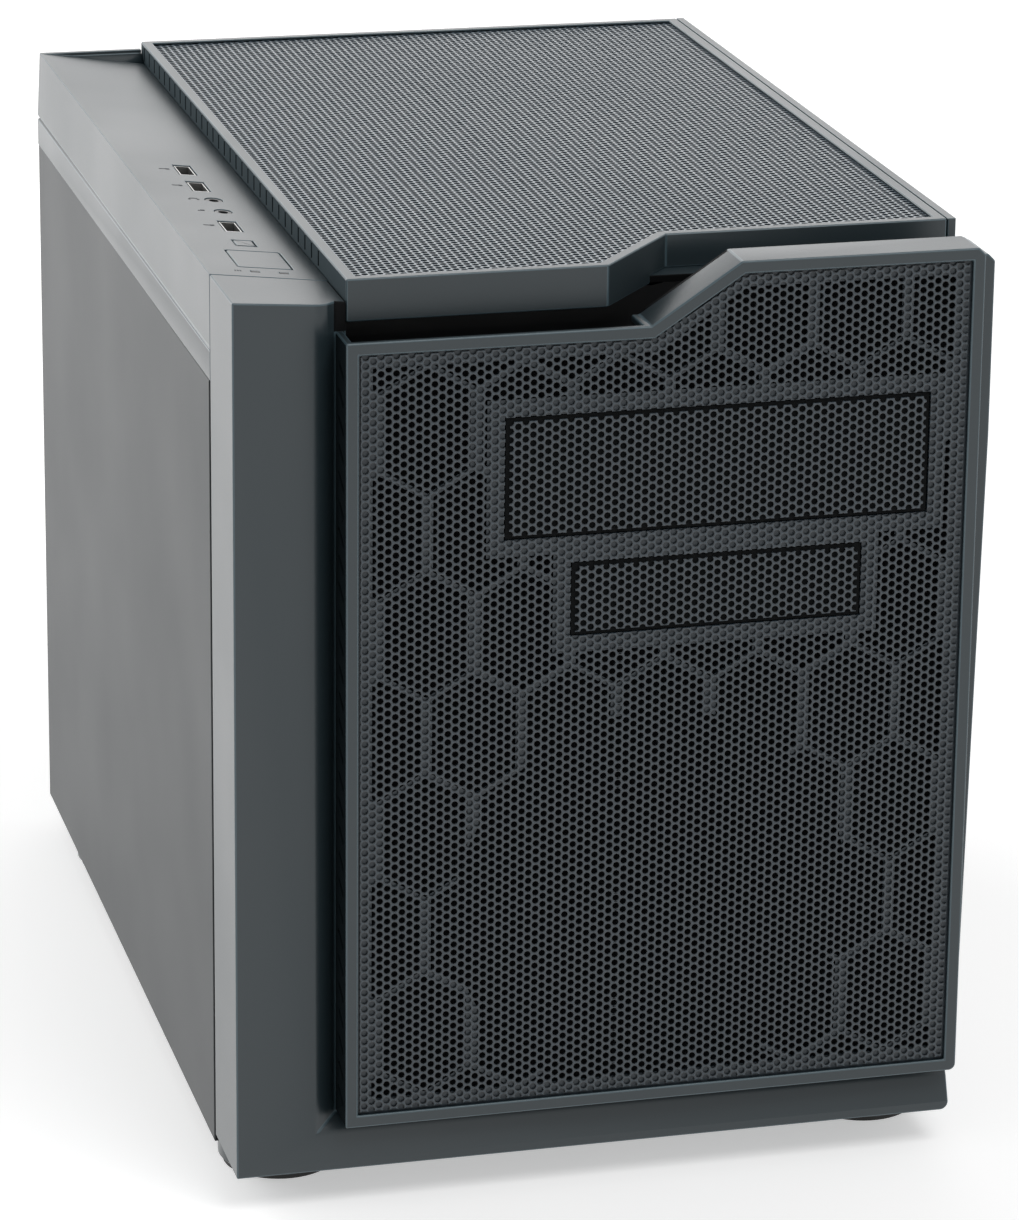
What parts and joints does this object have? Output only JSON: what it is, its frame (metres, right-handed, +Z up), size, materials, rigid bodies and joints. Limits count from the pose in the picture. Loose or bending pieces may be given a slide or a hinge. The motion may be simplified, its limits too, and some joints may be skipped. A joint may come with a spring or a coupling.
{
  "type": "micro atx cube case",
  "caption": "Cube-shaped computer case with a perforated front and top hood, drive bay covers, a sloped control strip with ports and buttons, sliding side panels and round feet",
  "frame": {"origin": "centre of the footprint, on the surface that the feet stand on", "axes": "+X to the right seen from the front, +Y to the back, +Z up; the front faces -Y"},
  "size_m": [0.2664, 0.4031, 0.3319],
  "materials": {
    "steel_black": "satin black powder coat on folded steel",
    "steel_grey": "satin dark grey powder coat",
    "mesh_black": "fine-textured dark powder coat on perforated steel",
    "plastic_dark": "fine-textured anthracite moulded plastic",
    "plastic_fan": "smooth black moulded plastic",
    "rubber_black": "matte black rubber",
    "foam_black": "open black filter foam",
    "board_green": "printed circuit laminate",
    "port_steel": "plated pressed steel",
    "tongue_black": "smooth black plastic",
    "light_clear": "clear light pipe",
    "brass": "turned brass",
    "screw_black": "black zinc-plated steel"
  },
  "bodies": {
    "chassis": {"chassis_floor": "steel_black", "front_wall": "steel_black", "rear_wall": "steel_black", "roof_panel": "steel_black", "lower_rail_left": "steel_black", "lower_rail_right": "steel_black", "upper_rail_left": "steel_black", "upper_rail_right": "steel_black", "tray_rail_left": "steel_black", "tray_rail_right": "steel_black", "motherboard_tray": "steel_black", "standoffs": "brass", "wide_bay_plate_left": "steel_black", "wide_bay_plate_right": "steel_black", "wide_bay_shelf": "steel_black", "small_bay_cradle": "steel_black", "disk_cage_front": "steel_black", "disk_cage_back": "steel_black", "disk_tray_1": "plastic_fan", "disk_tray_2": "plastic_fan", "psu_pads": "rubber_black", "filter_rail_left": "plastic_fan", "filter_rail_right": "plastic_fan", "feet": "plastic_dark", "foot_pads": "rubber_black", "slot_covers": "steel_black", "slot_screws": "screw_black", "front_fan_frame": "plastic_fan", "rear_fan_frame": "plastic_fan", "fan_screws": "screw_black", "top_cover": "plastic_dark", "hood_frame": "plastic_dark", "hood_mesh": "mesh_black", "io_board": "board_green", "usb_tongues": "tongue_black", "usb_port_1": "port_steel", "usb_port_2": "port_steel", "usb_port_3": "port_steel", "audio_jack_1": "tongue_black", "audio_jack_2": "tongue_black", "indicator_lights": "light_clear"},
    "psu_filter": {"psu_filter": "plastic_fan"},
    "left_panel": {"side_panel_left": "steel_grey", "thumbscrews_left": "screw_black"},
    "right_panel": {"side_panel_right": "steel_grey", "thumbscrews_right": "screw_black"},
    "front_panel": {"front_frame": "plastic_dark", "front_bezel": "plastic_dark", "front_mesh": "mesh_black", "honeycomb_backing": "plastic_dark", "front_filter": "foam_black"},
    "wide_cover": {"wide_bay_cover": "plastic_dark", "wide_bay_mesh": "mesh_black"},
    "small_cover": {"small_bay_cover": "plastic_dark", "small_bay_mesh": "mesh_black"},
    "front_rotor": {"front_fan_rotor": "plastic_fan"},
    "rear_rotor": {"rear_fan_rotor": "plastic_fan"},
    "power_key": {"power_button": "plastic_dark"},
    "reset_key": {"reset_button": "plastic_dark"}
  },
  "joints": [
    {"name": "filter_slide", "type": "slide", "parent": "chassis", "child": "psu_filter", "axis": [0, 1, 0], "range_m": [0, 0.14]},
    {"name": "left_panel_slide", "type": "slide", "parent": "chassis", "child": "left_panel", "axis": [0, 1, 0], "range_m": [0, 0.02]},
    {"name": "right_panel_slide", "type": "slide", "parent": "chassis", "child": "right_panel", "axis": [0, 1, 0], "range_m": [0, 0.02]},
    {"name": "front_panel_pull", "type": "slide", "parent": "chassis", "child": "front_panel", "axis": [0, -1, 0], "range_m": [0, 0.03]},
    {"name": "wide_cover_pull", "type": "slide", "parent": "front_panel", "child": "wide_cover", "axis": [0, -1, 0], "range_m": [0, 0.02]},
    {"name": "small_cover_pull", "type": "slide", "parent": "front_panel", "child": "small_cover", "axis": [0, -1, 0], "range_m": [0, 0.02]},
    {"name": "front_fan_spin", "type": "hinge", "parent": "chassis", "child": "front_rotor", "pos_m": [0.013, -0.14, 0.105], "axis": [0, 1, 0], "continuous": true},
    {"name": "rear_fan_spin", "type": "hinge", "parent": "chassis", "child": "rear_rotor", "pos_m": [0.053, 0.182, 0.228], "axis": [0, 1, 0], "continuous": true},
    {"name": "power_press", "type": "slide", "parent": "chassis", "child": "power_key", "axis": [-0.1115, 0, -0.9938], "range_m": [0, 0.0015], "stiffness_N_per_m": 200, "springref_m": -0.002},
    {"name": "reset_press", "type": "slide", "parent": "chassis", "child": "reset_key", "axis": [-0.1115, 0, -0.9938], "range_m": [0, 0.0015], "stiffness_N_per_m": 200, "springref_m": -0.002}
  ]
}
